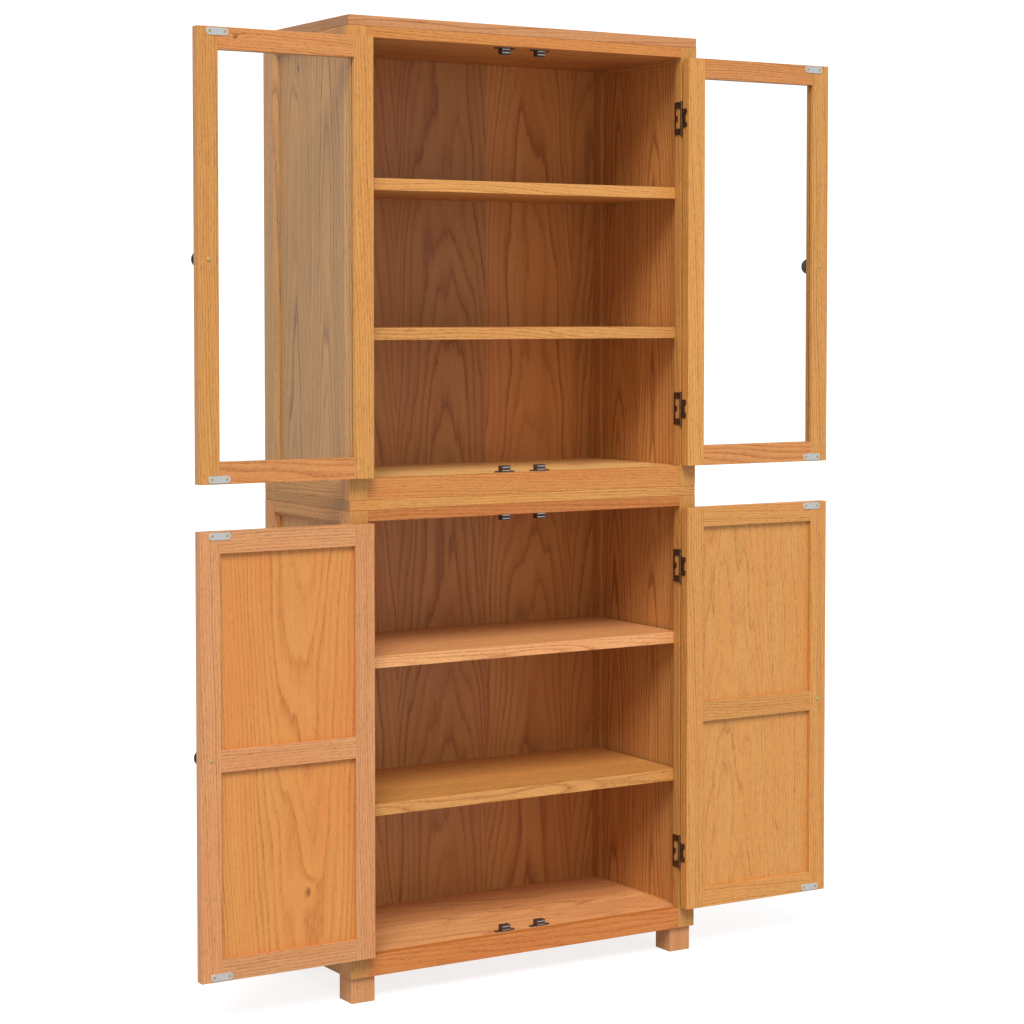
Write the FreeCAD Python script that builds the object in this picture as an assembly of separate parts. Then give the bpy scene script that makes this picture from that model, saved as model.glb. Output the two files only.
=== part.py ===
import FreeCAD, Part
import math
import os

from FreeCAD import Vector

# A tall pantry cabinet of two stacked modules, each with a face frame, framed sides, a back
# panel, a floor, a ceiling, two shelves and a top board. Four inset doors hang on
# non-mortise hinges and stand folded right back: glass above, wood panels below.
# Millimetres, +Z up, front towards -Y, doors open.

# Case
W = 768.0                 # outer width
D = 350.0                 # outer depth
FOOT = 48.0               # foot height and width
FOOT_IN_X, FOOT_IN_Y = 5.0, 8.0
MODULE = 876.0            # height of one module with its top board
TOP_T = 19.0              # top board
STILE_W = 36.5            # face frame stile
FRAME_T = 20.0            # face frame and door thickness
RAIL_TOP = 20.0           # face frame top rail height
RAIL_BOT = 39.0           # face frame bottom rail height
SIDE_T = 24.0             # side frame thickness
SIDE_FRONT = 18.0         # flat width of a side's front stile
SIDE_BACK = 40.0          # flat width of a side's back stile
SIDE_RAIL_TOP = 21.0      # flat height of a side's top rail
BEVEL = 8.0               # bevel around a side panel
PANEL_T = 6.0
SIDE_PANEL_X = 11.0       # a side panel's outer face, in from the side
GROOVE = 6.0              # groove depth for panels
BACK_Y, BACK_T, BACK_GROOVE = 330.0, 8.0, 8.0
BOARD_T = 20.0            # floor and ceiling boards
SHELF_T = 22.0
SHELF_SET_BACK = 1.0      # a shelf's front edge clears the shut doors by this

# Doors
HINGE_GAP = 2.0
CENTRE_GAP = 2.0
DOOR_GAP_Z = 2.0
MEMBER = 39.0             # door stile and rail width
TENON = 8.0
GLASS_T, GLASS_Y = 4.0, 8.0
DOOR_PANEL_Y = 6.0
MID_RAIL_LOW = 370.0      # middle rail's lower edge above the door's bottom
CORNER_SCREW_X, CORNER_SCREW_Z = 30.0, 18.0   # glazed doors, in from the bottom corners

# Hinges
PIN_R, PIN_CLEAR = 1.5, 0.06
BARREL_R = 2.6
LEAF_T = 1.6
LEAF_H, LEAF_D = 63.5, 20.0
SMALL_H, SMALL_D = 36.0, 14.0
PIN_Y = -3.0
HINGE_TOP, HINGE_BOT = 116.0, 111.0

# Knobs, catches and strikes
KNOB_R, KNOB_L, KNOB_Z = 15.0, 27.0, 392.5
STRIKE_L, STRIKE_H, STRIKE_T = 43.0, 13.0, 1.2
STRIKE_X = 39.0           # strike and catch centre from the middle of the case
STRIKE_EDGE = 8.5         # strike centre from the door's top or bottom
CATCH_W, CATCH_D, CATCH_H = 20.0, 13.0, 12.5
CATCH_Y = 22.0
FLANGE_L, FLANGE_D, FLANGE_T = 44.0, 9.0, 2.0
POLE_W, POLE_T = 16.5, 1.6
POLE_FACE = 0.5
POLE_Z = (3.3, 9.4)

EASE = 0.6                # rounding of sawn edges
EASE_TOP = 1.5

Z0 = FOOT                                     # underside of the lower module
Z_RAIL = Z0 + RAIL_BOT                        # top of the bottom rail and of the floor
Z_TOP = Z0 + MODULE - TOP_T                   # underside of the top board
Z_CEIL = Z_TOP - RAIL_TOP
OPEN_H = Z_CEIL - Z_RAIL
DOOR_H = OPEN_H - 2 * DOOR_GAP_Z
DOOR_W = (W - 2 * STILE_W - 2 * HINGE_GAP - CENTRE_GAP) / 2
DOOR_Z = Z_RAIL + DOOR_GAP_Z
PIN_X = STILE_W + HINGE_GAP / 2
SHELF_PITCH = (OPEN_H - 2 * SHELF_T) / 3
SHELF_Z = [Z_RAIL + SHELF_PITCH, Z_RAIL + 2 * SHELF_PITCH + SHELF_T]
HINGE_Z = [DOOR_Z + DOOR_H - HINGE_TOP, DOOR_Z + HINGE_BOT]
SCREW_PROUD = 2.4                             # knob screw head behind the door
ORIGIN_Y = (D + 2 * PIN_Y - FRAME_T - SCREW_PROUD) / 2

os.makedirs("parts", exist_ok=True)


def box(x0, x1, y0, y1, z0, z1, ease=0.0):
    solid = Part.makeBox(x1 - x0, y1 - y0, z1 - z0, Vector(x0, y0, z0))
    return solid.makeFillet(ease, solid.Edges) if ease else solid


def cyl(r, h, base, direction):
    return Part.makeCylinder(r, h, Vector(*base), Vector(*direction))


def fuse(first, *others):
    return first.fuse(list(others)).removeSplitter()


def moved(shape, dx=0.0, dy=0.0, dz=0.0):
    copy = shape.copy()
    copy.translate(Vector(dx, dy, dz))
    return copy


def mirrored(shape):
    return shape.mirror(Vector(W / 2, 0, 0), Vector(1, 0, 0))


def both_sides(shapes):
    return shapes + [mirrored(s) for s in shapes]


def upward(shapes):
    return [moved(s, dz=MODULE) for s in shapes]


def flipped_z(shape, z):
    return shape.mirror(Vector(0, 0, z), Vector(0, 0, 1))


def drilled(shape, tools):
    near = [t for t in tools if shape.BoundBox.intersect(t.BoundBox)]
    return shape.cut(near) if near else shape


def save(node, solids):
    shape = solids[0] if len(solids) == 1 else Part.makeCompound(solids)
    moved(shape, -W / 2, -ORIGIN_Y).exportStep("parts/%s.step" % node)


def turned(profile, base, direction):
    """Solid of revolution from (radius, height) points, along a direction from base."""
    points = [Vector(r, 0, h) for r, h in profile]
    points += [Vector(0, 0, profile[-1][1]), Vector(0, 0, profile[0][1])]
    clean = [p for i, p in enumerate(points) if i == 0 or (p - points[i - 1]).Length > 1e-6]
    if (clean[0] - clean[-1]).Length > 1e-6:
        clean.append(clean[0])
    solid = Part.Face(Part.makePolygon(clean)).revolve(Vector(0, 0, 0), Vector(0, 0, 1), 360)
    solid.Placement = FreeCAD.Placement(
        Vector(*base), FreeCAD.Rotation(Vector(0, 0, 1), Vector(*direction)))
    return solid


# Fasteners. base is the centre of the head's seat, direction points into the wood.

def flat_screw(base, direction, head_r, shank_r, length, plate):
    """Countersunk screw through a plate of the given thickness, with a cross recess."""
    profile = [(head_r, 0), (shank_r, plate), (shank_r, length - 3), (0.3, length)]
    blank = turned(profile, base, direction)
    return blank.cut(cross(base, direction, head_r * 0.55, 0.8)), blank


def pan_screw(base, direction, head_r, head_h, shank_r, length):
    """Domed head standing proud of the seat, with a cross recess, and a straight shank."""
    profile = [(head_r * 0.45, -head_h), (head_r * 0.86, -head_h * 0.72), (head_r, -head_h * 0.25),
               (head_r, 0), (shank_r, 0), (shank_r, length - 2), (0.3, length)]
    top = [b - head_h * d for b, d in zip(base, direction)]
    blank = turned(profile, base, direction)
    return blank.cut(cross(top, direction, head_r * 0.5, 0.8)), cyl_hole(base, direction,
                                                                         shank_r, length)


def cyl_hole(base, direction, r, length):
    return turned([(r, 0), (r, length - 2), (0.3, length)], base, direction)


def cross(base, direction, arm, depth):
    bars = [Part.makeBox(2 * arm, 0.7, 2 * depth, Vector(-arm, -0.35, -depth)),
            Part.makeBox(0.7, 2 * arm, 2 * depth, Vector(-0.35, -arm, -depth))]
    tool = bars[0].fuse(bars[1])
    tool.Placement = FreeCAD.Placement(
        Vector(*base), FreeCAD.Rotation(Vector(0, 0, 1), Vector(*direction)))
    return tool


# Hinges, built for the left side in the closed position, centred on z = 0.

def ring(z0, z1, bore):
    barrel = cyl(BARREL_R, z1 - z0, (PIN_X, PIN_Y, z0), (0, 0, 1))
    return barrel, cyl(bore, z1 - z0 + 2, (PIN_X, PIN_Y, z0 - 1), (0, 0, 1))


def case_leaf():
    """Large leaf on the stile's inner edge, with the opening that the small leaf folds into."""
    x0, x1, half = STILE_W, STILE_W + LEAF_T, LEAF_H / 2
    leaf = box(x0, x1, 0.0, LEAF_D, -half, half)
    window = box(x0 - 1, x1 + 1, -1, LEAF_D - 4, -19.5, 19.5)
    tab = box(x0, x1, LEAF_D - 9.5, LEAF_D - 3, -5, 5)
    leaf = fuse(leaf.cut(window), tab)
    leaf = leaf.cut(cyl(1.2, 6, (x0 - 2, LEAF_D - 5.5, 0), (1, 0, 0)))
    for lo, hi in ((SMALL_H / 2 + 0.4, half), (-half, -SMALL_H / 2 - 0.4)):
        barrel, bore = ring(lo, hi, PIN_R)
        ear_lo, ear_hi = (max(lo, 19.5), hi) if lo > 0 else (lo, min(hi, -19.5))
        ear = box(x0, x1, PIN_Y, 0.5, ear_lo, ear_hi)
        leaf = fuse(leaf, barrel, ear).cut(bore)
    return leaf


def door_leaf():
    """Small leaf on the door's hinge edge, notched around the large leaf's tab."""
    x1 = STILE_W + HINGE_GAP
    x0, half = x1 - LEAF_T, SMALL_H / 2
    leaf = box(x0, x1, PIN_Y, SMALL_D, -half, half)
    corners = [e for e in leaf.Edges if abs(e.BoundBox.YMin - SMALL_D) < 0.01
               and e.BoundBox.XLength > 1 and e.BoundBox.ZLength < 0.01]
    leaf = leaf.makeFillet(2.5, corners)
    notch = fuse(box(x0 - 1, x1 + 1, SMALL_D - 4.5, SMALL_D + 1, -4.5, 4.5),
                 cyl(4.5, LEAF_T + 2, (x0 - 1, SMALL_D + 0.5, 4.8), (1, 0, 0)),
                 cyl(4.5, LEAF_T + 2, (x0 - 1, SMALL_D + 0.5, -4.8), (1, 0, 0)))
    barrel, bore = ring(-half, half, PIN_R + PIN_CLEAR)
    return fuse(leaf.cut(notch), barrel).cut(bore)


def hinge_pin():
    half = LEAF_H / 2
    pin = cyl(PIN_R, LEAF_H, (PIN_X, PIN_Y, -half), (0, 0, 1))
    caps = [turned([(BARREL_R, 0), (BARREL_R, 0.5), (BARREL_R * 0.6, 1.4), (0.2, 1.7)],
                   (PIN_X, PIN_Y, s * half), (0, 0, s)) for s in (1, -1)]
    return fuse(pin, *caps)


def case_leaf_screws():
    return [flat_screw((STILE_W + LEAF_T, 10.5, z), (-1, 0, 0), 3.4, 1.7, 16, LEAF_T)
            for z in (25.3, -25.3)]


def door_leaf_screws():
    x = STILE_W + HINGE_GAP - LEAF_T
    return [flat_screw((x, 8.5, z), (1, 0, 0), 3.2, 1.6, 15, LEAF_T) for z in (13.2, -13.2)]


# Case

def bevel_tool():
    """Tapered block that cuts the bevel around a side panel's opening, mitred at the corners."""
    def outline(x, grow):
        y0, y1 = FRAME_T + SIDE_FRONT + BEVEL - grow, D - SIDE_BACK - BEVEL + grow
        z0, z1 = Z_RAIL - grow, Z_TOP - SIDE_RAIL_TOP - BEVEL + grow
        corners = [Vector(x, y0, z0), Vector(x, y1, z0), Vector(x, y1, z1), Vector(x, y0, z1)]
        return Part.makePolygon(corners + corners[:1])
    return Part.makeLoft([outline(-1, BEVEL + 1), outline(BEVEL, 0)], True, True)


def side_pieces():
    y0, y1 = FRAME_T + SIDE_FRONT + BEVEL, D - SIDE_BACK - BEVEL
    z0, z1 = Z_RAIL, Z_TOP - SIDE_RAIL_TOP - BEVEL      # the bottom rail ends level with the floor
    px0, px1 = SIDE_PANEL_X, SIDE_PANEL_X + PANEL_T
    slot = box(px0, px1, y0 - GROOVE, y1 + GROOVE, z0 - GROOVE, z1 + GROOVE)
    back_slot = box(SIDE_T - BACK_GROOVE, SIDE_T + 1, BACK_Y, BACK_Y + BACK_T, Z0 - 1, Z_TOP + 1)
    bevel = bevel_tool()
    front = box(0, SIDE_T, FRAME_T, y0, Z0, Z_TOP, EASE).cut([slot, bevel])
    back = box(0, SIDE_T, y1, D, Z0, Z_TOP, EASE).cut([slot, bevel, back_slot])
    bottom = box(0, SIDE_T, y0, y1, Z0, z0, EASE).cut([slot, bevel])
    top = box(0, SIDE_T, y0, y1, z1, Z_TOP, EASE).cut([slot, bevel])
    return [front, back], [bottom, top], [slot]


def face_pieces():
    stile = box(0, STILE_W, 0, FRAME_T, Z0, Z_TOP, EASE)
    rails = [box(STILE_W, W - STILE_W, 0, FRAME_T, Z0, Z_RAIL, EASE),
             box(STILE_W, W - STILE_W, 0, FRAME_T, Z_CEIL, Z_TOP, EASE)]
    return stile, rails


def inner_board(z0, z1, front=FRAME_T):
    return box(SIDE_T, W - SIDE_T, front, BACK_Y, z0, z1, EASE)


def catch():
    """Magnetic catch on the floor, for the left door: body, two poles and two screws."""
    x = W / 2 - STRIKE_X
    y = CATCH_Y + (CATCH_D - FLANGE_D) / 2
    mid = y + FLANGE_D / 2
    body = box(x - CATCH_W / 2, x + CATCH_W / 2, CATCH_Y, CATCH_Y + CATCH_D, 0, CATCH_H)
    body = body.makeFillet(1.0, [e for e in body.Edges if e.BoundBox.ZMin > 0.01
                                 or e.BoundBox.ZLength > 1])
    ear_x = FLANGE_L / 2 - FLANGE_D / 2
    flange = fuse(box(x - ear_x, x + ear_x, y, y + FLANGE_D, 0, FLANGE_T),
                  cyl(FLANGE_D / 2, FLANGE_T, (x - ear_x, mid, 0), (0, 0, 1)),
                  cyl(FLANGE_D / 2, FLANGE_T, (x + ear_x, mid, 0), (0, 0, 1)))
    body = fuse(body, flange)
    poles = [box(x - POLE_W / 2, x + POLE_W / 2, CATCH_Y - POLE_FACE, CATCH_Y + 9,
                 z - POLE_T / 2, z + POLE_T / 2) for z in POLE_Z]
    screws = [pan_screw((x + s * (ear_x - 0.5), mid, FLANGE_T), (0, 0, -1), 2.6, 1.3, 1.3, 14)
              for s in (-1, 1)]
    return body.cut(poles + [h for _, h in screws]), poles, screws


def knob():
    """Turned knob on the door's outer face, bored for its screw. Base at y = 0, facing -y."""
    profile = [(9.0, 0), (9.3, 0.7), (9.0, 1.6), (7.2, 2.6), (6.0, 4.2), (5.4, 6.6), (5.6, 9.2),
               (6.6, 11.6), (8.8, 13.6), (11.8, 15.0), (14.0, 16.4), (14.8, 17.8), (KNOB_R, 19.4),
               (14.7, 21.0), (13.6, 22.6), (11.6, 24.2), (8.6, 25.7), (4.6, 26.7), (0.0, KNOB_L)]
    return turned(profile, (0, 0, 0), (0, -1, 0)).cut(cyl(2.0, 14, (0, 1, 0), (0, -1, 0)))


def knob_screw():
    head, _ = pan_screw((0, FRAME_T, 0), (0, -1, 0), 4.2, SCREW_PROUD, 2.0, FRAME_T + 13)
    return head


# Doors, built closed for the lower left, hinge edge at x = STILE_W + HINGE_GAP.

def strike(x, z):
    ends = STRIKE_L / 2 - STRIKE_H / 2
    plate = fuse(box(x - ends, x + ends, FRAME_T, FRAME_T + STRIKE_T, z - STRIKE_H / 2,
                     z + STRIKE_H / 2),
                 cyl(STRIKE_H / 2, STRIKE_T, (x - ends, FRAME_T, z), (0, 1, 0)),
                 cyl(STRIKE_H / 2, STRIKE_T, (x + ends, FRAME_T, z), (0, 1, 0)))
    rim = [e for e in plate.Edges if e.BoundBox.YMin > FRAME_T + STRIKE_T - 0.01]
    plate = plate.makeFillet(0.3, rim)
    screws = [flat_screw((x + s * 14.5, FRAME_T + STRIKE_T, z), (0, -1, 0), 3.0, 1.4, 13, STRIKE_T)
              for s in (-1, 1)]
    return plate.cut([blank for _, blank in screws]), screws


def swing_open(shape):
    copy = shape.copy()
    copy.rotate(Vector(PIN_X, PIN_Y, 0), Vector(0, 0, 1), 180)
    return copy


def door(glazed):
    x0 = STILE_W + HINGE_GAP
    x1, z0, z1 = x0 + DOOR_W, DOOR_Z, DOOR_Z + DOOR_H
    xi0, xi1 = x0 + MEMBER, x1 - MEMBER
    t, y = (GLASS_T, GLASS_Y) if glazed else (PANEL_T, DOOR_PANEL_Y)
    channel = box(xi0 - TENON, xi1 + TENON, y, y + t, z0 - 1, z1 + 1)
    stiles = [box(a, b, 0, FRAME_T, z0, z1, EASE).cut(channel) for a, b in ((x0, xi0), (xi1, x1))]
    bands = [(z0, z0 + MEMBER), (z1 - MEMBER, z1)]
    if not glazed:
        bands.insert(1, (z0 + MID_RAIL_LOW, z0 + MID_RAIL_LOW + MEMBER))
    panes = [box(xi0 - GROOVE, xi1 + GROOVE, y, y + t, lo[1] - GROOVE, hi[0] + GROOVE)
             for lo, hi in zip(bands, bands[1:])]
    rails = [fuse(box(xi0, xi1, 0, FRAME_T, lo, hi, EASE),
                  box(xi0 - TENON, xi1 + TENON, y, y + t, lo + EASE, hi - EASE)).cut(panes)
             for lo, hi in bands]

    x_strike = W / 2 - STRIKE_X
    fittings = [strike(x_strike, z) for z in (z0 + STRIKE_EDGE, z1 - STRIKE_EDGE)]
    screws = [s for _, pair in fittings for s in pair]
    if glazed:
        screws += [pan_screw((x, FRAME_T, z0 + CORNER_SCREW_Z), (0, -1, 0), 2.4, 0.9, 1.2, 15)
                   for x in (x0 + CORNER_SCREW_X, x1 - CORNER_SCREW_X)]
    leaves = [moved(door_leaf(), dz=z) for z in HINGE_Z]
    hinge_screws = [(moved(s, dz=z), moved(b, dz=z)) for z in HINGE_Z
                    for s, b in door_leaf_screws()]
    x_knob, z_knob = x1 - MEMBER / 2, z0 + KNOB_Z
    bore = cyl(2.0, FRAME_T + 2, (x_knob, -1, z_knob), (0, 1, 0))
    tools = [blank for _, blank in screws + hinge_screws] + [bore]
    pieces = {
        "stiles": [drilled(s, tools) for s in stiles],
        "rails": [drilled(r, tools) for r in rails],
        "glass" if glazed else "panels": panes,
        "knob": [moved(knob(), x_knob, 0, z_knob)],
        "strike_plates": [plate for plate, _ in fittings],
        "screws": [s for s, _ in screws] + [moved(knob_screw(), x_knob, 0, z_knob)],
        "hinge_leaves": [leaf.cut([b for _, b in hinge_screws]) for leaf in leaves],
        "hinge_screws": [s for s, _ in hinge_screws],
    }
    return {name: [swing_open(s) for s in solids] for name, solids in pieces.items()}


for level, lift, glazed in (("lower", 0.0, False), ("upper", MODULE, True)):
    for name, solids in door(glazed).items():
        left = [moved(s, dz=lift) for s in solids]
        save("%s_left_door_%s" % (level, name), left)
        save("%s_right_door_%s" % (level, name), [mirrored(s) for s in left])

leaf_pairs = [(moved(s, dz=z), moved(b, dz=z)) for z in HINGE_Z for s, b in case_leaf_screws()]
leaf_blanks = both_sides([b for _, b in leaf_pairs])
case_leaves = [moved(case_leaf(), dz=z).cut([b for _, b in leaf_pairs]) for z in HINGE_Z]
pins = [moved(hinge_pin(), dz=z) for z in HINGE_Z]

body, poles, catch_pairs = catch()
floor_catch = [moved(s, dz=Z_RAIL) for s in [body] + poles + [s for s, _ in catch_pairs]]
floor_holes = [moved(h, dz=Z_RAIL) for _, h in catch_pairs]
mid_z = (Z_RAIL + Z_CEIL) / 2
ceiling_catch = [flipped_z(s, mid_z) for s in floor_catch]
ceiling_holes = [flipped_z(h, mid_z) for h in floor_holes]

top_pair = flat_screw((101.0, 178.0, Z_CEIL), (0, 0, 1), 4.0, 1.9, 34, 3.0)
top_holes = both_sides([top_pair[1]])

stile, face_rails = face_pieces()
face_stiles = [drilled(s, leaf_blanks) for s in both_sides([stile])]
side_stiles, side_rails, side_panels = side_pieces()
floor_board = inner_board(Z_RAIL - BOARD_T, Z_RAIL).cut(both_sides(floor_holes))
ceiling_board = inner_board(Z_CEIL, Z_TOP).cut(both_sides(ceiling_holes) + top_holes)
top_board = box(0, W, 0, D, Z_TOP, Z_TOP + TOP_T, EASE_TOP).cut(top_holes)
shelves = [inner_board(z, z + SHELF_T, FRAME_T + SHELF_SET_BACK) for z in SHELF_Z]
back_x = SIDE_T - BACK_GROOVE
back_panel = box(back_x, W - back_x, BACK_Y, BACK_Y + BACK_T, Z0, Z_TOP)

module = {
    "face_stiles": face_stiles,
    "face_rails": face_rails,
    "side_stiles": both_sides(side_stiles),
    "side_rails": both_sides(side_rails),
    "side_panels": both_sides(side_panels),
    "back_panel": [back_panel],
    "floor_board": [floor_board],
    "ceiling_board": [ceiling_board],
    "shelves": shelves,
    "top_board": [top_board],
}
for name, solids in module.items():
    save("lower_" + name, solids)
    save("upper_" + name, upward(solids))

fittings = {
    "hinge_case_leaves": both_sides(case_leaves),
    "hinge_pins": both_sides(pins),
    "hinge_case_screws": both_sides([s for s, _ in leaf_pairs]),
    "catch_bodies": both_sides([floor_catch[0], ceiling_catch[0]]),
    "catch_pole_plates": both_sides(floor_catch[1:3] + ceiling_catch[1:3]),
    "catch_screws": both_sides(floor_catch[3:] + ceiling_catch[3:]),
    "top_board_screws": both_sides([top_pair[0]]),
}
for name, solids in fittings.items():
    save(name, solids + upward(solids))

foot = box(FOOT_IN_X, FOOT_IN_X + FOOT, FOOT_IN_Y, FOOT_IN_Y + FOOT, 0, Z0, 1.0)
feet = [foot, moved(foot, dy=D - FOOT - 2 * FOOT_IN_Y)]
save("feet", both_sides(feet))
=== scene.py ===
# %% [markdown]
# # A pantry cabinet in oiled oak
#
# The real cabinet is two stacked boxes of solid oak with a face frame on each, four framed doors
# (glass above, thin oak panels below), dark bronze hinges and knobs, and small magnetic catches.
# The CAD model already holds every board and screw in its true shape, so the work here is the
# camera, the light, and above all the wood: oak is only convincing when each board has its own
# grain, running the right way.

# %% Load the frame
import math
from functools import partial

import bmesh
import bpy
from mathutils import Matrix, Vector


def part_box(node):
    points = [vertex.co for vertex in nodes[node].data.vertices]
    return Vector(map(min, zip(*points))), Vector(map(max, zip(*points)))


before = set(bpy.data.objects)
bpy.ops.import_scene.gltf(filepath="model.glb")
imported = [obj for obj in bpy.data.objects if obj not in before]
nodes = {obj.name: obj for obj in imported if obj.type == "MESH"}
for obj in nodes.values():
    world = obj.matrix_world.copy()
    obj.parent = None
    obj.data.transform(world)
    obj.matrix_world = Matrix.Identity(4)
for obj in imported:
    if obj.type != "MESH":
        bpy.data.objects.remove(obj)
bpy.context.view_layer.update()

MM = 0.001

# %% [markdown]
# ## Camera
# A tall cabinet is best seen from a few metres away through a long lens, level with its upper
# shelves. The camera looks slightly down, and a small lens shift does the rest, because tilting
# alone would make the upright edges lean together.

# %% Camera
CAMERA_AT = Vector((-2.4723, -4.1203, 1.2655))
CAMERA_YAW, CAMERA_TILT = 31.565, 2.495      # degrees to the right of +Y, and below level
FILM_WIDTH, FOCAL_LENGTH = 36, 86.995        # mm
LENS_SHIFT = -0.09                           # as a share of the film's width

lens = bpy.data.cameras.new("camera")
lens.sensor_width, lens.lens, lens.shift_y = FILM_WIDTH, FOCAL_LENGTH, LENS_SHIFT
camera = bpy.data.objects.new("camera", lens)
bpy.context.scene.collection.objects.link(camera)
camera.location = CAMERA_AT
camera.rotation_euler = (math.radians(90 - CAMERA_TILT), 0, math.radians(-CAMERA_YAW))
bpy.context.scene.camera = camera

# %% [markdown]
# ## Colours
# Wood and metal colours are given as sRGB hex values. Shaders work in linear light, so
# one function does the conversion.

# %% Colour helper


def linear(hex_colour, gain=1.0):
    """An sRGB hex colour as linear RGBA, brightened or dimmed by gain."""
    parts = [int(hex_colour[i:i + 2], 16) / 255 for i in (1, 3, 5)]
    light = [p / 12.92 if p <= 0.04045 else ((p + 0.055) / 1.055) ** 2.4 for p in parts]
    return (*[min(1.0, v * gain) for v in light], 1.0)


# %% [markdown]
# ## Building shaders
# A procedural material is a small tree of nodes. One function adds a node of any kind: words in
# its arguments are settings or named sockets, plain arguments fill the sockets in order, and a
# node given as an argument is linked in.

# %% Shader helpers


def add(tree, kind, *inputs, **named):
    """Adds a shader node with its settings and links, and returns it."""
    made = tree.nodes.new("ShaderNode" + kind)
    filled = []
    for name, value in named.items():
        if hasattr(made, name):
            setattr(made, name, value)
        else:
            filled.append((name.replace("_", " "), value))
    usable = [s for s in made.inputs if s.enabled]
    filled = [(next(s for s in usable if s.name == name), value) for name, value in filled]
    for socket, value in filled + list(zip(usable, inputs)):
        if isinstance(value, bpy.types.Node):
            value = next(s for s in value.outputs if s.enabled)
        if isinstance(value, bpy.types.NodeSocket):
            tree.links.new(value, socket)
        elif value is not None:
            socket.default_value = value
    return made


def new_material(name):
    """A material with a Principled BSDF, and its node tree."""
    material = bpy.data.materials.new(name)
    material.use_nodes = True
    return material, material.node_tree, material.node_tree.nodes["Principled BSDF"]


def put_on(node_name, material):
    """Gives a CAD node one material."""
    mesh = nodes[node_name].data
    mesh.materials.clear()
    mesh.materials.append(material)


# %% [markdown]
# ## Oak
# Oak is ring-porous: each year starts with a band of large open pores, which looks like a dark,
# rough line, and goes on with dense pale wood. A board is a slice through those rings. Sawn flat,
# it shows tall pointed arches. Sawn on the slant (rift-sawn), it shows straight fine lines.
#
# So the grain is made as the tree makes it: rings round a centre line near the board, leaning a
# little so that they cross its face, and disturbed by noise. The pattern is solid, so edges and
# ends match their faces. A board's own number picks its part of the tree, so no two are alike.
#
# First, the cutting list. An axis is divided into boards, and each gets its number. From that
# number come three random values: where along the tree the board was, how far its middle is off
# the tree's, and how dark it is.

# %% Boards out of a tree
TREE_LENGTH = 7.0                     # metres
OFF_MIDDLE = 30 * MM


def board_place(node, value, size, shift):
    """Splits an axis into boards: the board's number, and the distance from its middle."""
    steps = node("Math", value, 1 / size, shift, operation="MULTIPLY_ADD")
    fraction = node("Math", steps, operation="FRACT")
    inside = node("Math", fraction, size, -size / 2, operation="MULTIPLY_ADD")
    return node("Math", steps, operation="FLOOR"), inside


def in_the_tree(node, place, axes, across, depth, seed):
    """Wood coordinates (across, deep, along), the boards' number in depth, and their darkness."""
    on_axis = dict(zip("XYZ", node("SeparateXYZ", place).outputs))
    number_a, a = board_place(node, on_axis[axes[0]], *across)
    number_d, d = board_place(node, on_axis[axes[1]], *depth)
    own = node("TexWhiteNoise", node("CombineXYZ", number_a, number_d, seed))
    luck = node("SeparateColor", own.outputs["Color"]).outputs
    off = node("Math", luck[1], OFF_MIDDLE, -OFF_MIDDLE / 2, operation="MULTIPLY_ADD")
    a = node("Math", a, off, operation="ADD")
    along = node("Math", luck[0], TREE_LENGTH, on_axis[axes[2]], operation="MULTIPLY_ADD")
    return node("CombineXYZ", a, d, along), number_d, luck[2]


def streaks(node, wood, width, length, detail, roughness=0.5):
    """Noise in long blobs, width across the grain and length along it."""
    at = node("Mapping", wood, Scale=(1 / width, 1 / width, 1 / length))
    return node("TexNoise", at, Scale=1.0, Detail=detail, Roughness=roughness)


# %% [markdown]
# ## Year rings and knots
# The distance from the tree's centre line, divided by the width of a year, counts the years. A
# colour ramp turns each year's fraction into a dark line that fades into pale late wood. A knot is
# a branch: it pushes the rings aside and has a dark core.

# %% Rings
RIPPLE = 14 * MM, 160 * MM            # small waves of the rings, across and along the grain
SWEEP = 110 * MM, 600 * MM            # the slow bends of the trunk
RIPPLE_SHARE = 0.12                   # a ripple's height beside that of a sweep
# How much early wood there is as a year goes from 0 to 1.
YEAR = {0.0: 0.4, 0.08: 1.0, 0.30: 0.40, 0.60: 0.05, 0.86: 0.08, 1.0: 0.3}
WEAK_YEAR, STRONG_YEAR = 0.35, 1.15   # how dark a year's early wood can be
KNOT_SHAPE = 1.0, 0.1, 0.55           # how much distance counts across, deep and along
KNOT_REACH, KNOT_PUSH = 0.45, 2.2     # how soon the rings calm down, and how far they move
KNOT_CORE = 0.25                      # the share of a knot that is all dark


def year_rings(node, wood, cut, bulge):
    """How much early wood there is, from 0 to 1, in wood coordinates."""
    centre = node("Mapping", wood, Location=(cut["aside"], cut["behind"], 0), Scale=(1, 1, 0))
    radius = node("VectorMath", centre, operation="LENGTH")
    along = node("SeparateXYZ", wood).outputs[2]
    radius = node("Math", along, cut["taper"], radius, operation="MULTIPLY_ADD")
    for size, amount in ((SWEEP, cut["wave"]), (RIPPLE, cut["wave"] * RIPPLE_SHARE)):
        bends = streaks(node, wood, *size, 2.0)
        radius = node("Math", bends, amount, radius, operation="MULTIPLY_ADD")
    if bulge:
        radius = node("Math", radius, bulge, operation="ADD")
    years = node("Math", radius, cut["ring"], operation="DIVIDE")
    number = node("Math", years, operation="FLOOR")
    strength = node("TexWhiteNoise", W=number, noise_dimensions="1D").outputs["Value"]
    ramp = node("ValToRGB", node("Math", years, operation="FRACT"))
    stops = ramp.color_ramp.elements
    for at, level in YEAR.items():
        stop = stops[0] if at == 0 else stops[-1] if at == 1 else stops.new(at)
        stop.color = (level, level, level, 1)
    strength = node("Math", strength, STRONG_YEAR - WEAK_YEAR, WEAK_YEAR,
                    operation="MULTIPLY_ADD")
    return node("Math", ramp, strength, operation="MULTIPLY")


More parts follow.
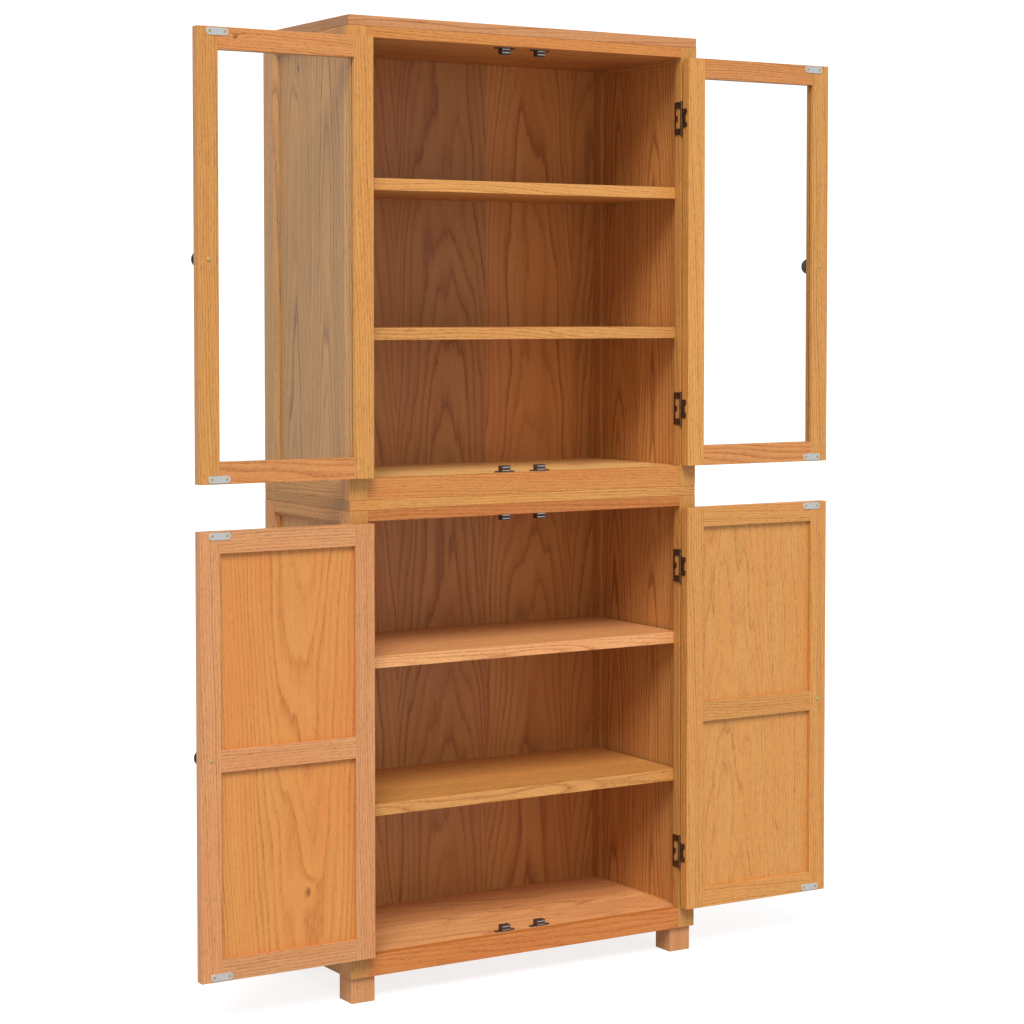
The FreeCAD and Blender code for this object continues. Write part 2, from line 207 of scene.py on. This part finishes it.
def knot(node, place, axes, at, size):
    """A knot at a point, long with the grain and right through the board: how far it pushes the
    rings, and its dark core."""
    shape = dict(zip(axes, KNOT_SHAPE))
    shape = Vector([shape[axis] for axis in "XYZ"])
    moved = node("Mapping", place, Location=-Vector(at) * shape, Scale=shape)
    gap = node("VectorMath", moved, operation="LENGTH")
    fade = node("Math", gap, -KNOT_REACH / size, operation="MULTIPLY")
    fade = node("Math", fade, operation="EXPONENT")
    push = node("Math", fade, size * KNOT_PUSH, operation="MULTIPLY")
    return push, node("MapRange", gap, size * KNOT_CORE, size, 1.0, 0.0)


# %% [markdown]
# ## The pattern in a board
# Besides the rings there are fibres, open pores and slow changes of colour. The pores are real
# dashes, about 0.3 mm wide and 10 to 20 mm long. They would vanish in a view of the whole cabinet,
# so they are drawn four times as wide. They crowd in the early wood.

# %% Grain
FIBRE = 2.4 * MM, 90 * MM             # across and along the grain
PORE = 1.3 * MM, 10 * MM
DRIFT = 50 * MM, 350 * MM             # slow changes of colour in a board
PORE_NOISE = 0.50, 0.68               # the noise from which a pore starts, and is full
LATE_PORES = 0.3                      # pores in late wood beside those in early wood


def grain(node, wood, place, axes, cut, knots):
    """The parts of a board's pattern. The core is None where no knots are given."""
    bulge = core = None
    for spot in knots:
        push, dark_core = knot(node, place, axes, *spot)
        bulge = node("Math", bulge, push, operation="ADD") if bulge else push
        core = node("Math", core, dark_core, operation="MAXIMUM") if core else dark_core
    early = year_rings(node, wood, cut, bulge)
    fibre_size, pore_size = ([side * cut["coarse"] for side in size] for size in (FIBRE, PORE))
    fibres = streaks(node, wood, *fibre_size, 4.0, 0.65)
    drift = streaks(node, wood, *DRIFT, 3.0, 0.55)
    pores = node("MapRange", streaks(node, wood, *pore_size, 1.0), *PORE_NOISE, 0.0, 1.0)
    crowd = node("Math", early, 1 - LATE_PORES, LATE_PORES, operation="MULTIPLY_ADD")
    pores = node("Math", pores, crowd, operation="MULTIPLY")
    return early, fibres, drift, pores, core


# %% [markdown]
# ## Colour
# A board goes from its light tone to its dark one with the rings and fibres, leans to a third tint
# where the colour drifts, and is darkest in the pores and in a knot. One board is a little darker
# than the next. Oil darkens end grain most, because it drinks more.

# %% Wood colour
BETWEEN_RINGS = 0.15                  # of the dark tone, in late wood
PORE_GAIN = 0.45                      # a pore has the dark tone, dimmed
CORE_COLOUR, CORE_AMOUNT = "#4a2412", 0.7
DRIFT_NOISE = 0.42, 0.72              # the noise from which the tint starts, and is full
END_GRAIN = 0.72                      # its brightness beside that of a face
END_TILT = 0.6, 0.9                   # cosine from the grain, where a face turns to end grain
CLOUDS, CLOUD_BASE = 0.3, 0.85        # slow changes of brightness


def wood_colour(node, pattern, tones, second, number, cut):
    """The oak's colour before the board's own darkness."""
    early, fibres, drift, pores, core = pattern
    amount = node("Math", fibres, cut["fibre"], BETWEEN_RINGS - cut["fibre"] / 2,
                  operation="MULTIPLY_ADD")
    amount = node("Math", early, cut["contrast"], amount, operation="MULTIPLY_ADD",
                  use_clamp=True)
    side = node("Math", number, 1.0, operation="ADD", use_clamp=True)
    light, dark, tint = (
        node("Mix", side, data_type="RGBA", A=linear(tones[key]), B=linear(second[key]))
        for key in ("light", "dark", "tint"))
    colour = node("Mix", amount, data_type="RGBA", A=light, B=dark)
    drifted = node("MapRange", drift, *DRIFT_NOISE, 0.0, tones["drift"])
    colour = node("Mix", drifted, data_type="RGBA", A=colour, B=tint)
    in_pore = node("Math", pores, cut["pore"], operation="MULTIPLY")
    colour = node("Mix", in_pore, data_type="RGBA", A=colour,
                  B=linear(tones["dark"], PORE_GAIN))
    if core:
        in_core = node("Math", core, CORE_AMOUNT, operation="MULTIPLY")
        colour = node("Mix", in_core, data_type="RGBA", A=colour, B=linear(CORE_COLOUR))
    return colour


def brightness(node, normal, axis, drift, luck, spread):
    """How bright a point is beside the colour of its tone."""
    end_on = node("SeparateXYZ", normal).outputs["XYZ".index(axis)]
    end_on = node("Math", end_on, operation="ABSOLUTE")
    value = node("MapRange", end_on, *END_TILT, 1.0, END_GRAIN)
    own = node("Math", luck, spread, 1 - spread / 2, operation="MULTIPLY_ADD")
    value = node("Math", value, own, operation="MULTIPLY")
    clouds = node("Math", drift, CLOUDS, CLOUD_BASE, operation="MULTIPLY_ADD")
    return node("Math", value, clouds, operation="MULTIPLY")


# %% [markdown]
# ## The finished surface
# Under a thin satin lacquer the pores stay as shallow, dull grooves, and dense late wood is a
# little glossier.

# %% Oak
SATIN = 0.31                          # the smoothest wood's roughness
FIBRE_ROUGH, PORE_ROUGH = 0.14, 0.25  # what fibres and pores add to it
PORE_DEPTH = 0.15 * MM
RING_DEPTH = 0.35                     # beside that of a pore


def oak(name, axes, across, depth, seed, tones, cut, knots=(), second=None):
    """Oak with its grain along the third of the axes, such as "XYZ".

    across and depth are the (size, shift) of the boards on the first two axes. second gives
    other tones for the boards whose number on the second axis isn't negative."""
    material, tree, shader = new_material(name)
    node = partial(add, tree)
    coordinates = node("TexCoord").outputs
    wood, number, luck = in_the_tree(node, coordinates["Object"], axes, across, depth, seed)
    pattern = grain(node, wood, coordinates["Object"], axes, cut, knots)
    early, fibres, drift, pores, _ = pattern
    colour = wood_colour(node, pattern, tones, second or tones, number, cut)
    value = brightness(node, coordinates["Normal"], axes[2], drift, luck, cut["spread"])
    colour = node("HueSaturation", Value=value, Color=colour)
    rough = node("Math", fibres, FIBRE_ROUGH, SATIN, operation="MULTIPLY_ADD")
    rough = node("Math", pores, PORE_ROUGH, rough, operation="MULTIPLY_ADD")
    height = node("Math", early, RING_DEPTH, pores, operation="MULTIPLY_ADD")
    bump = node("Bump", Strength=0.4, Distance=-PORE_DEPTH, Height=height)
    for made, socket in ((colour, "Base Color"), (rough, "Roughness"), (bump, "Normal")):
        tree.links.new(made.outputs[0], shader.inputs[socket])
    shader.inputs["IOR"].default_value = 1.5
    shader.inputs["Specular IOR Level"].default_value = 0.4
    return material


# %% [markdown]
# ## How each board is sawn
# Narrow parts are rift-sawn, with straight lines, so they stay straight. Wide panels are flat-sawn,
# with arches. Shelves and tops are glued up from narrower boards.
#
# A cut says where the board's middle is from the tree's (aside, behind), how wide a year is, how
# fast the tree narrows (taper) and how much it bends (wave). The rest is how strongly rings,
# fibres and pores show, how much boards differ (spread), and how coarse the fine pattern is drawn.
#
# The tones are those of oiled oak: honey and gold, a pinker salmon and rose, a deep amber,
# brighter ones for floors and the upper frame, which are painted light where those boards catch
# more of the lamp, a browner tan for the inside and the right hand side, which is painted shade
# for boards that get little light, and an olive for most of the left hand side, partly painted
# shade of the folded upper door.

# %% Cuts and tones
RIFT = dict(aside=0.12, behind=0.10, ring=5.0 * MM, taper=0.022, wave=0.035, contrast=0.75,
            fibre=1.0, pore=0.75, spread=0.14, coarse=1.0)
FLAT = dict(aside=0.03, behind=0.03, ring=5.5 * MM, taper=0.035, wave=0.034, contrast=0.60,
            fibre=0.6, pore=0.45, spread=0.10, coarse=1.0)
BACKS = FLAT | dict(aside=0.0, contrast=0.75, spread=0.24)
SIDES = FLAT | dict(aside=-0.01, ring=8 * MM, wave=0.05, contrast=1.0, pore=0.4, coarse=1.8)
SHELF = RIFT | dict(aside=0.05, behind=0.06, ring=5.5 * MM, taper=0.03, wave=0.05)
ARCH_DOWN = FLAT | dict(aside=-0.035, taper=-0.035)
FAINT = FLAT | dict(aside=0.05, behind=0.05, wave=0.06, contrast=0.38, fibre=0.8, pore=0.65)

HONEY = dict(light="#ce954f", dark="#a4652b", tint="#b77638", drift=0.5)
SALMON = dict(light="#d09561", dark="#a96a3d", tint="#b77143", drift=0.5)
ROSE = dict(light="#d69253", dark="#ab632e", tint="#be733b", drift=0.5)
SHELVES = dict(light="#d79b55", dark="#ac6a2e", tint="#bf7b3c", drift=0.5)
PANEL = dict(light="#d28f4a", dark="#ae6527", tint="#bb6b30", drift=0.5)
GOLD = dict(light="#cf9450", dark="#aa692d", tint="#ba7737", drift=0.5)
# The next four tones carry painted light: the browner tan is painted shade for inside boards, and
# the floor, bright and pale tones are painted light where boards catch more of the lamp.
SHADED_TAN = dict(light="#d39655", dark="#9f6231", tint="#ad6636", drift=0.5)
FLOOR = dict(light="#eeae70", dark="#b77342", tint="#c97e4e", drift=0.5)
LIT_BRIGHT = dict(light="#d59b53", dark="#aa6a2d", tint="#bd7a3b", drift=0.5)
LIT_PALE = dict(light="#f8c97f", dark="#bf864c", tint="#d29259", drift=0.5)
AMBER = dict(light="#c67d3d", dark="#a45720", tint="#b15e27", drift=0.6)
# The olive is partly painted shade: darker where the left hand side lies in the folded upper door's
# shade.
OLIVE = dict(light="#c28a49", dark="#905e2d", tint="#a56835", drift=0.4)
print("a year is", RIFT["ring"] / MM, "to", SIDES["ring"] / MM, "mm wide")

# %% [markdown]
# ## Which board runs which way
# Joiners run the grain along a board's length: upright in stiles, panels and feet, level in rails,
# shelves and tops. Each row gives the axes (across, depth, along), where the boards are divided on
# the first two, the tones and the cut. Three boards have a small knot, which is usual in oak of
# this grade: a side panel, a door panel and a door's top rail.

# %% The case
ONE = (2.0, 0.5)                         # the whole piece is one board


def centred(node_name, axis):
    """One board, with its heart opposite the middle of the piece."""
    low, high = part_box(node_name)
    k = "XYZ".index(axis)
    return 2.0, 0.5 - (low[k] + high[k]) / 4


def lay_oak(node_name, seed, axes, across, depth, tones, cut, **extra):
    """Gives a CAD node its own oak."""
    put_on(node_name, oak(f"oak_{node_name}", axes, across, depth, seed, tones, cut, **extra))


# Painted light: floor boards take the lighter floor tone, where the lamp falls on them, and the
# back panel and ceilings take the browner tan as painted shade.
CASE = {
    "face_stiles": ("XYZ", (0.7315, 0.0), ONE, HONEY, RIFT),
    "face_rails": ("ZYX", (0.40, 0.1), ONE, PANEL, RIFT),
    "side_stiles": ("YXZ", (0.20, 0.5), (0.744, 0.0), SHADED_TAN, RIFT),
    "side_rails": ("ZXY", (0.40, 0.1), (0.744, 0.0), OLIVE, RIFT),
    "side_panels": ("YXZ", (0.134, 0.90), (0.74, 0.0), OLIVE, SIDES),
    "back_panel": ("XYZ", (0.205, 0.507), ONE, SHADED_TAN, BACKS),
    "floor_board": ("YZX", (0.104, 0.35), ONE, FLOOR, SHELF),
    "ceiling_board": ("YZX", (0.104, 0.35), ONE, SHADED_TAN, SHELF),
    "shelves": ("YZX", (0.104, 0.35), (0.27, -2.0), SHELVES, SHELF),
    "top_board": ("YZX", (0.117, 0.36), ONE, HONEY, SHELF),
}
# Painted light: the pale upper floor, the bright upper face stiles and the lower shelves' floor
# tone are lighter where those boards catch more of the lamp.
OTHER_TONES = {"lower_face_rails": AMBER, "upper_side_stiles": OLIVE,
               "upper_top_board": SALMON, "upper_floor_board": LIT_PALE, "upper_face_stiles": LIT_BRIGHT}
SECOND_TONES = {"lower_shelves": FLOOR}
KNOTS = {
    "upper_side_panels": (((-0.370, 0.062, 1.722), 8 * MM),),
    "lower_left_door_panels": (((-0.480, -0.176, 0.225), 6 * MM),),
    "upper_left_door_rails": (((-0.62, -0.177, 1.742), 4 * MM),),
}
seeds = iter(range(1, 100))
for level in ("lower", "upper"):
    for part, (axes, across, depth, tones, cut) in CASE.items():
        name = f"{level}_{part}"
        second = SHADED_TAN if part.startswith("side_") else SECOND_TONES.get(name)
        lay_oak(name, next(seeds), axes, across, depth, OTHER_TONES.get(name, tones), cut,
                second=second, knots=KNOTS.get(name, ()))
lay_oak("feet", next(seeds), "XYZ", (0.5, 0.5), (0.3, 0.0), SALMON, RIFT)
print("case boards done,", len(bpy.data.materials), "materials")

# %% [markdown]
# ## The doors
# A door's two stiles come from different planks, and so do its rails. Each row gives the tones of
# the stiles and the rails, and the tones and cut of the panels where the door has them. The lower
# left door's thin panels show one tall arch, point down, and the lower right door's a faint one.

# %% Doors
# Painted light: the upper right door's stiles take the bright tone, lighter where the lamp falls on
# them.
DOORS = {"upper_left": (HONEY, ROSE), "upper_right": (LIT_BRIGHT, ROSE),
         "lower_left": (SALMON, SALMON, PANEL, ARCH_DOWN), "lower_right": (GOLD, GOLD, GOLD, FAINT)}
for door, (stile_tones, rail_tones, *panel) in DOORS.items():
    stiles, rails, panels = (f"{door}_door_{part}" for part in ("stiles", "rails", "panels"))
    middle = centred(stiles, "X")[1]
    lay_oak(stiles, next(seeds), "XYZ", (0.305, middle), ONE, stile_tones, RIFT)
    lay_oak(rails, next(seeds), "ZYX", (0.30, 0.0), ONE, rail_tones, RIFT,
            knots=KNOTS.get(rails, ()))
    if panel:
        lay_oak(panels, next(seeds), "XYZ", centred(panels, "X"), ONE, *panel,
                knots=KNOTS.get(panels, ()))
print("all oak done,", len(bpy.data.materials), "materials")

# %% [markdown]
# ## Glass
# The door panes are clear float glass, 4 mm thick, flat and parallel, so a pane lets light
# straight through and only mirrors a share of it: 4 percent head on, and more at a slant. That
# share follows Schlick's formula, 0.04 + 0.96 (1 - cosine) to the fifth. A clear pane built this
# way keeps what is behind it sharp, and needs no light bent through it.

# %% Glass
HEAD_ON = 0.04
glass, tree, shader = new_material("float_glass")
slant = add(tree, "LayerWeight", Blend=0.5).outputs["Facing"]
slant = add(tree, "Math", slant, 5.0, operation="POWER")
share = add(tree, "Math", slant, 1 - HEAD_ON, HEAD_ON, operation="MULTIPLY_ADD")
clear = add(tree, "BsdfTransparent", Color=linear("#fdfffd"))
mirror = add(tree, "BsdfAnisotropic", Roughness=0.0)
pane = add(tree, "MixShader", share, clear, mirror)
tree.links.new(pane.outputs[0], tree.nodes["Material Output"].inputs["Surface"])
tree.nodes.remove(shader)
panes = [name for name in nodes if name.endswith("_glass")]
for name in panes:
    put_on(name, glass)
print("glass in", panes)

# %% [markdown]
# ## Metals and plastic
# Hinges, knobs and the catches' screws are steel with a brown oil-rubbed finish, in patches worn
# to a warmer brown. Hinge screws are a paler bronze. Strike plates and the screws under the top
# boards are zinc-plated, a cool silver, and the doors' other screws are brassed. The catches are
# dark moulded plastic with two bright steel strips. A metal's colour is its reflection, so each is
# a tinted mirror, roughened. Node names are tried against the table from the top, and the first
# hit counts.

# %% Metals
WEAR = 0.35                           # how much of the worn colour shows where it is worn most
WEAR_NOISE = 0.45, 0.75               # the noise from which the wear starts, and is full
ROUGH_RANGE = 0.2                     # between the smoothest and roughest patches


def worn_metal(name, base, worn, roughness, metallic, size):
    """Metal whose finish varies in patches of the given size."""
    material, tree, shader = new_material(name)
    node = partial(add, tree)
    patches = node("TexNoise", node("TexCoord").outputs["Object"], Scale=1 / size, Detail=4.0,
                   Roughness=0.6)
    amount = node("MapRange", patches, *WEAR_NOISE, 0.0, WEAR)
    colour = node("Mix", amount, data_type="RGBA", A=linear(base), B=linear(worn))
    rough = node("Math", patches, ROUGH_RANGE, roughness - ROUGH_RANGE / 2,
                 operation="MULTIPLY_ADD")
    bump = node("Bump", Strength=0.2, Distance=0.05 * MM, Height=patches)
    for made, socket in ((colour, "Base Color"), (rough, "Roughness"), (bump, "Normal")):
        tree.links.new(next(s for s in made.outputs if s.enabled), shader.inputs[socket])
    shader.inputs["Metallic"].default_value = metallic
    return material


bronze = worn_metal("oil_rubbed_bronze", "#5d4939", "#c09c70", 0.34, 0.85, 4 * MM)
screw_bronze = worn_metal("bronzed_screw", "#9a8465", "#cdb48e", 0.28, 1.0, 2 * MM)
knob_bronze = worn_metal("bronzed_knob", "#3a3330", "#6a5546", 0.38, 0.7, 6 * MM)
zinc = worn_metal("zinc_plate", "#e0e2e2", "#bfc2c4", 0.36, 1.0, 3 * MM)
brass = worn_metal("brassed_screw", "#e0c78a", "#b89a5c", 0.3, 1.0, 2 * MM)
steel = worn_metal("bright_steel_strip", "#d0cdc8", "#a9a6a1", 0.3, 1.0, 3 * MM)
plastic = worn_metal("moulded_plastic", "#3a2c28", "#5a463e", 0.40, 0.0, 2 * MM)
FITTINGS = (("_knob", knob_bronze), ("catch_bodies", plastic), ("catch_pole_plates", steel),
            ("hinge_screws", screw_bronze), ("case_screws", screw_bronze), ("hinge_", bronze),
            ("catch_screws", bronze), ("_strike_plates", zinc), ("board_screws", zinc),
            ("_screws", brass))
for name in nodes:
    finish = next((metal for part, metal in FITTINGS if part in name), None)
    if finish:
        put_on(name, finish)
print("materials:", len(bpy.data.materials))

# %% [markdown]
# ## The room
# The cabinet stands in a white studio on a softly lit white table, so that shadows on the table
# stay faint. Table and walls look pure white, but give less light than that, because one large
# soft lamp has to set the light's direction. A Light Path node tells the rays that the eye sees
# from those that only carry light.

# %% Floor
GLOW, SEEN_GLOW = 0.24, 0.80              # the table's own light, and to the eye: 1 is white
FLOOR_RADIUS = 40                         # metres, so that its edge is far off


def eye_or_light(tree, light, eye):
    """One strength as a light, another to the eye."""
    camera_ray = add(tree, "LightPath").outputs["Is Camera Ray"]
    return add(tree, "MapRange", camera_ray, 0.0, 1.0, light, eye).outputs[0]


mesh = bpy.data.meshes.new("studio_floor")
shape = bmesh.new()
bmesh.ops.create_circle(shape, cap_ends=True, segments=96, radius=FLOOR_RADIUS)
shape.to_mesh(mesh)
shape.free()
floor = bpy.data.objects.new("studio_floor", mesh)
bpy.context.scene.collection.objects.link(floor)
paper, tree, shader = new_material("studio_floor")
tree.links.new(eye_or_light(tree, GLOW, SEEN_GLOW), shader.inputs["Emission Strength"])
shader.inputs["Emission Color"].default_value = (1, 1, 1, 1)
shader.inputs["Base Color"].default_value = linear("#9a9a9a")
shader.inputs["Roughness"].default_value = 0.95
shader.inputs["Specular IOR Level"].default_value = 0.0
floor.data.materials.append(paper)
print("table", 2 * FLOOR_RADIUS, "m across")

# %% [markdown]
# ## The light
# White walls fill the shadows from all sides. The lamp stands high to the left of the front, and
# is as wide as a big softbox, so that the shadows inside the cabinet have soft edges.

# %% Light
FILL, SEEN = 0.70, 1.2                    # the walls' strength as a light, and to the eye
LAMP_LEFT, LAMP_UP, LAMP_WIDTH = 30, 48, 30       # degrees: from the front, from level, across
LAMP_STRENGTH = 3.0

world = bpy.data.worlds.new("white_room")
bpy.context.scene.world = world
world.use_nodes = True
walls = world.node_tree.nodes["Background"]
walls.inputs["Color"].default_value = (1, 1, 1, 1)
world.node_tree.links.new(eye_or_light(world.node_tree, FILL, SEEN), walls.inputs["Strength"])

lamp = bpy.data.lights.new("key_lamp", "SUN")
lamp.angle = math.radians(LAMP_WIDTH)
lamp.energy = LAMP_STRENGTH
placed = bpy.data.objects.new("key_lamp", lamp)
bpy.context.scene.collection.objects.link(placed)
placed.rotation_euler = (math.radians(90 - LAMP_UP), 0, math.radians(-LAMP_LEFT))
bpy.context.scene.view_settings.view_transform = "Standard"
print("lamp", LAMP_STRENGTH, "against a fill of", FILL)
